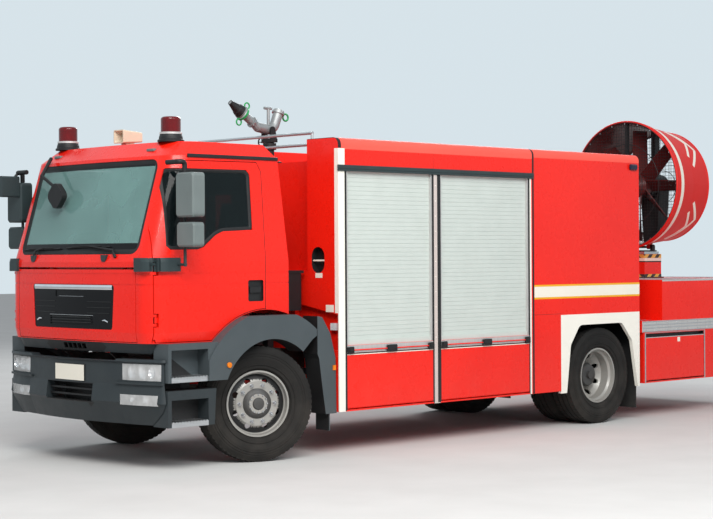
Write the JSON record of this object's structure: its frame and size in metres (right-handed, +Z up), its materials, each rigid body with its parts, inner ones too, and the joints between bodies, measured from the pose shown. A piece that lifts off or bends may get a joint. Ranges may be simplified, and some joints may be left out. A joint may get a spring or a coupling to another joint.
{
  "type": "fire truck with a rear fan",
  "caption": "Two-axle water tanker fire truck: tilting cab with doors, locker and tank body with folding steps, roof monitor, rear deck with a lifting, swivelling, tilting ventilation fan.",
  "frame": {"origin": "on the ground, below the middle of the overall length, on the centre plane", "axes": "+X forward along the vehicle, +Y to its left, +Z up"},
  "size_m": [9.3658, 2.87, 3.468],
  "materials": {
    "red_paint": "gloss",
    "grey_plastic": "satin",
    "black_steel": "satin",
    "cast_metal": "rough",
    "pale_shutter": "anodised",
    "cream_paint": "gloss",
    "silver": "brushed",
    "wheel_silver": "satin",
    "tyre": "matte",
    "clear": "polished",
    "lamp": "clear",
    "seat_cloth": "woven",
    "black_plastic": "fine grain",
    "gloss_black": "gloss",
    "rubber": "matte",
    "beacon_red": "clear coloured",
    "bright_steel": "brushed"
  },
  "bodies": {
    "chassis": {"chassis_frame": "black_steel", "front_axle_beam": "cast_metal", "rear_axle_housing": "cast_metal", "leaf_springs": "black_steel", "engine_block": "cast_metal", "driveline": "cast_metal", "front_bumper": "grey_plastic", "front_lamps": "lamp", "entrance_steps": "grey_plastic", "front_quarters": "grey_plastic", "body_front_module": "red_paint", "roller_shutters": "pale_shutter", "body_rear_module": "red_paint", "arch_panels": "cream_paint", "rear_deck": "red_paint", "rear_bumper": "black_steel", "roof_rails": "silver", "monitor_base": "bright_steel", "lift_column_outer": "red_paint", "step_treads": "silver"},
    "cab": {"cab_shell": "red_paint", "cab_fenders": "grey_plastic", "windscreen": "clear", "dashboard": "black_plastic", "steering_wheel": "black_plastic", "cab_seats": "seat_cloth", "cab_trim": "black_plastic", "beacon_domes": "beacon_red", "cab_treads": "silver"},
    "front_service_flap": {"front_flap": "red_paint", "front_grille": "gloss_black"},
    "monitor_head": {"monitor_turn": "bright_steel"},
    "monitor_gun": {"monitor_barrel": "bright_steel"},
    "lift_mast": {"lift_column_inner": "bright_steel"},
    "fan_slew": {"fan_turntable": "black_steel"},
    "fan_case": {"fan_shroud": "red_paint", "fan_motor": "black_steel"},
    "fan_blades": {"fan_rotor": "red_paint"},
    "door_body_left": {"door_left": "red_paint", "door_glass_left": "clear", "mirrors_left": "black_plastic"},
    "steer_left": {"knuckle_left": "cast_metal"},
    "front_wheel_left": {"tyre_front_left": "tyre", "rim_front_left": "wheel_silver"},
    "rear_wheel_left": {"tyres_rear_left": "tyre", "rims_rear_left": "wheel_silver"},
    "step_left_1": {"step_flap_left_1": "red_paint"},
    "step_left_2": {"step_flap_left_2": "red_paint"},
    "hatch_left": {"deck_hatch_left": "red_paint"},
    "door_body_right": {"door_right": "red_paint", "door_glass_right": "clear", "mirrors_right": "black_plastic"},
    "steer_right": {"knuckle_right": "cast_metal"},
    "front_wheel_right": {"tyre_front_right": "tyre", "rim_front_right": "wheel_silver"},
    "rear_wheel_right": {"tyres_rear_right": "tyre", "rims_rear_right": "wheel_silver"},
    "step_right_1": {"step_flap_right_1": "red_paint"},
    "step_right_2": {"step_flap_right_2": "red_paint"},
    "hatch_right": {"deck_hatch_right": "red_paint"}
  },
  "joints": [
    {"name": "steer_left", "type": "hinge", "parent": "chassis", "child": "steer_left", "pos_m": [3.315, 0.88, 0.522], "axis": [0, 0, 1], "range_deg": [-20, 60]},
    {"name": "steer_right", "type": "hinge", "parent": "chassis", "child": "steer_right", "pos_m": [3.315, -0.88, 0.522], "axis": [0, 0, 1], "range_deg": [-20, 60]},
    {"name": "front_wheel_spin_left", "type": "hinge", "parent": "steer_left", "child": "front_wheel_left", "pos_m": [3.3581, 0.9984, 0.522], "axis": [0.342, 0.9397, 0], "continuous": true},
    {"name": "rear_wheel_spin_left", "type": "hinge", "parent": "chassis", "child": "rear_wheel_left", "pos_m": [-1.41, 0.901, 0.522], "axis": [0, 1, 0], "continuous": true},
    {"name": "front_wheel_spin_right", "type": "hinge", "parent": "steer_right", "child": "front_wheel_right", "pos_m": [3.2719, -0.9984, 0.522], "axis": [0.342, 0.9397, 0], "continuous": true},
    {"name": "rear_wheel_spin_right", "type": "hinge", "parent": "chassis", "child": "rear_wheel_right", "pos_m": [-1.41, -0.901, 0.522], "axis": [0, 1, 0], "continuous": true},
    {"name": "door_left", "type": "hinge", "parent": "cab", "child": "door_body_left", "pos_m": [4.507, 1.06987, 1.52], "axis": [0, 0, -1], "range_deg": [0, 75]},
    {"name": "door_right", "type": "hinge", "parent": "cab", "child": "door_body_right", "pos_m": [4.507, -1.06987, 1.52], "axis": [0, 0, 1], "range_deg": [0, 75]},
    {"name": "cab_tilt", "type": "hinge", "parent": "chassis", "child": "cab", "pos_m": [4.515, 0, 1.04], "axis": [0, 1, 0], "range_deg": [0, 50]},
    {"name": "front_flap_lift", "type": "hinge", "parent": "cab", "child": "front_service_flap", "pos_m": [4.553, 0, 1.83], "axis": [0, -1, 0], "range_deg": [0, 75]},
    {"name": "step_flap_left_1", "type": "hinge", "parent": "chassis", "child": "step_left_1", "pos_m": [1.848, 1.233, 0.433], "axis": [-1, 0, 0], "range_deg": [0, 90]},
    {"name": "step_flap_left_2", "type": "hinge", "parent": "chassis", "child": "step_left_2", "pos_m": [0.4885, 1.233, 0.433], "axis": [-1, 0, 0], "range_deg": [0, 90]},
    {"name": "deck_hatch_left", "type": "hinge", "parent": "chassis", "child": "hatch_left", "pos_m": [-2.745, 1.233, 0.433], "axis": [-1, 0, 0], "range_deg": [0, 90]},
    {"name": "step_flap_right_1", "type": "hinge", "parent": "chassis", "child": "step_right_1", "pos_m": [1.848, -1.233, 0.433], "axis": [1, 0, 0], "range_deg": [0, 90]},
    {"name": "step_flap_right_2", "type": "hinge", "parent": "chassis", "child": "step_right_2", "pos_m": [0.4885, -1.233, 0.433], "axis": [1, 0, 0], "range_deg": [0, 90]},
    {"name": "deck_hatch_right", "type": "hinge", "parent": "chassis", "child": "hatch_right", "pos_m": [-2.745, -1.233, 0.433], "axis": [1, 0, 0], "range_deg": [0, 90]},
    {"name": "monitor_slew", "type": "hinge", "parent": "chassis", "child": "monitor_head", "pos_m": [2.28, 0, 2.925], "axis": [0, 0, 1], "range_deg": [-170, 170]},
    {"name": "monitor_pitch", "type": "hinge", "parent": "monitor_head", "child": "monitor_gun", "pos_m": [2.295, 0, 3.088], "axis": [0, -1, 0], "range_deg": [-20, 35]},
    {"name": "fan_lift", "type": "slide", "parent": "chassis", "child": "lift_mast", "axis": [0, 0, 1], "range_m": [0, 0.6]},
    {"name": "fan_slew", "type": "hinge", "parent": "lift_mast", "child": "fan_slew", "pos_m": [-3.805, 0, 1.868], "axis": [0, 0, 1], "range_deg": [-180, 180]},
    {"name": "fan_tilt", "type": "hinge", "parent": "fan_slew", "child": "fan_case", "pos_m": [-3.805, 0, 1.925], "axis": [0, 1, 0], "range_deg": [-15, 15]},
    {"name": "fan_spin", "type": "hinge", "parent": "fan_case", "child": "fan_blades", "pos_m": [-3.805, 0, 2.68], "axis": [1, 0, 0], "continuous": true}
  ],
  "couplings": [
    {"joint": "steer_right", "follows": "steer_left", "ratio": 1}
  ]
}
